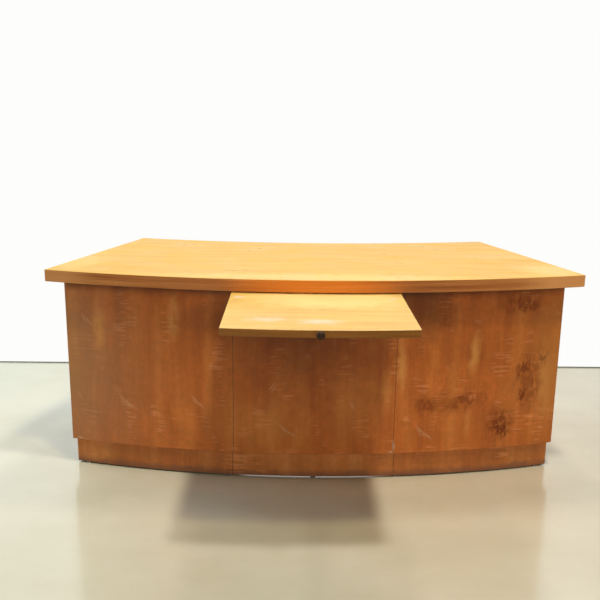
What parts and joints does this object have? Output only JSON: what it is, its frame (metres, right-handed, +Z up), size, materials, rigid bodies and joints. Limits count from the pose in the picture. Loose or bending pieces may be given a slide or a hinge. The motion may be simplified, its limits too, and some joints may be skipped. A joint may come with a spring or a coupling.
{
  "type": "desk",
  "caption": "Bow-front pedestal desk with a hollow user side, curved drawer fronts and a pull-out writing slide on the visitor's side.",
  "frame": {"origin": "on the floor, in the middle of the desk's box at rest, with the writing slide pulled out", "axes": "+X to the right as a visitor faces the desk, +Y from the visitor towards the user, +Z up"},
  "size_m": [1.9, 1.3336, 0.75],
  "materials": {
    "top_veneer": "satin varnish, honey-coloured veneer",
    "top_lipping": "satin varnish, solid edge lipping",
    "panel_veneer": "satin varnish, reddish rippled veneer",
    "front_veneer": "satin varnish, reddish veneer",
    "plinth_veneer": "worn varnish",
    "slide_veneer": "satin varnish, honey-coloured veneer",
    "slide_lipping": "satin varnish, solid edge lipping",
    "plain_hardwood": "bare planed hardwood",
    "knob": "dark stained, waxed",
    "glide_metal": "pressed steel"
  },
  "bodies": {
    "centre_drawer": {"centre_drawer_box": "plain_hardwood", "centre_drawer_front": "front_veneer", "centre_drawer_knob": "knob"},
    "carcass": {"centre_drawer_runners": "plain_hardwood", "centre_front_panel": "panel_veneer", "centre_plinth": "plinth_veneer", "glides": "glide_metal", "kneehole_rail": "front_veneer", "left_bottom_board": "plain_hardwood", "left_drawer_guides": "plain_hardwood", "left_drawer_stops": "plain_hardwood", "left_dust_boards": "plain_hardwood", "left_front_panel": "panel_veneer", "left_inner_side": "panel_veneer", "left_outer_side": "panel_veneer", "left_plinth_frame": "plinth_veneer", "left_plinth_front": "plinth_veneer", "left_top_rails": "plain_hardwood", "plinth_corner_blocks": "plain_hardwood", "right_bottom_board": "plain_hardwood", "right_drawer_guides": "plain_hardwood", "right_drawer_stops": "plain_hardwood", "right_dust_boards": "plain_hardwood", "right_front_panel": "panel_veneer", "right_inner_side": "panel_veneer", "right_outer_side": "panel_veneer", "right_plinth_frame": "plinth_veneer", "right_plinth_front": "plinth_veneer", "right_top_rails": "plain_hardwood", "slide_kickers": "plain_hardwood", "slide_runners": "plain_hardwood", "top_board": "top_veneer", "top_end_lippings": "top_lipping", "top_front_lipping": "top_lipping", "top_rear_lipping": "top_lipping"},
    "left_bottom_drawer": {"left_bottom_drawer_box": "plain_hardwood", "left_bottom_drawer_front": "front_veneer", "left_bottom_drawer_knob": "knob"},
    "left_middle_drawer": {"left_middle_drawer_box": "plain_hardwood", "left_middle_drawer_front": "front_veneer", "left_middle_drawer_knob": "knob"},
    "left_top_drawer": {"left_top_drawer_box": "plain_hardwood", "left_top_drawer_front": "front_veneer", "left_top_drawer_knob": "knob"},
    "right_bottom_drawer": {"right_bottom_drawer_box": "plain_hardwood", "right_bottom_drawer_front": "front_veneer", "right_bottom_drawer_knob": "knob"},
    "right_middle_drawer": {"right_middle_drawer_box": "plain_hardwood", "right_middle_drawer_front": "front_veneer", "right_middle_drawer_knob": "knob"},
    "right_top_drawer": {"right_top_drawer_box": "plain_hardwood", "right_top_drawer_front": "front_veneer", "right_top_drawer_knob": "knob"},
    "writing_slide": {"slide_board": "slide_veneer", "slide_front_lipping": "slide_lipping", "slide_knob": "knob", "slide_stops": "plain_hardwood"}
  },
  "joints": [
    {"name": "writing_slide_pull", "type": "slide", "parent": "carcass", "child": "writing_slide", "axis": [0, -1, 0], "range_m": [-0.509, 0]},
    {"name": "centre_drawer_pull", "type": "slide", "parent": "carcass", "child": "centre_drawer", "axis": [0, 1, 0], "range_m": [0, 0.3]},
    {"name": "left_top_drawer_pull", "type": "slide", "parent": "carcass", "child": "left_top_drawer", "axis": [0, 1, 0], "range_m": [0, 0.42]},
    {"name": "left_middle_drawer_pull", "type": "slide", "parent": "carcass", "child": "left_middle_drawer", "axis": [0, 1, 0], "range_m": [0, 0.42]},
    {"name": "left_bottom_drawer_pull", "type": "slide", "parent": "carcass", "child": "left_bottom_drawer", "axis": [0, 1, 0], "range_m": [0, 0.42]},
    {"name": "right_top_drawer_pull", "type": "slide", "parent": "carcass", "child": "right_top_drawer", "axis": [0, 1, 0], "range_m": [0, 0.42]},
    {"name": "right_middle_drawer_pull", "type": "slide", "parent": "carcass", "child": "right_middle_drawer", "axis": [0, 1, 0], "range_m": [0, 0.42]},
    {"name": "right_bottom_drawer_pull", "type": "slide", "parent": "carcass", "child": "right_bottom_drawer", "axis": [0, 1, 0], "range_m": [0, 0.42]}
  ]
}
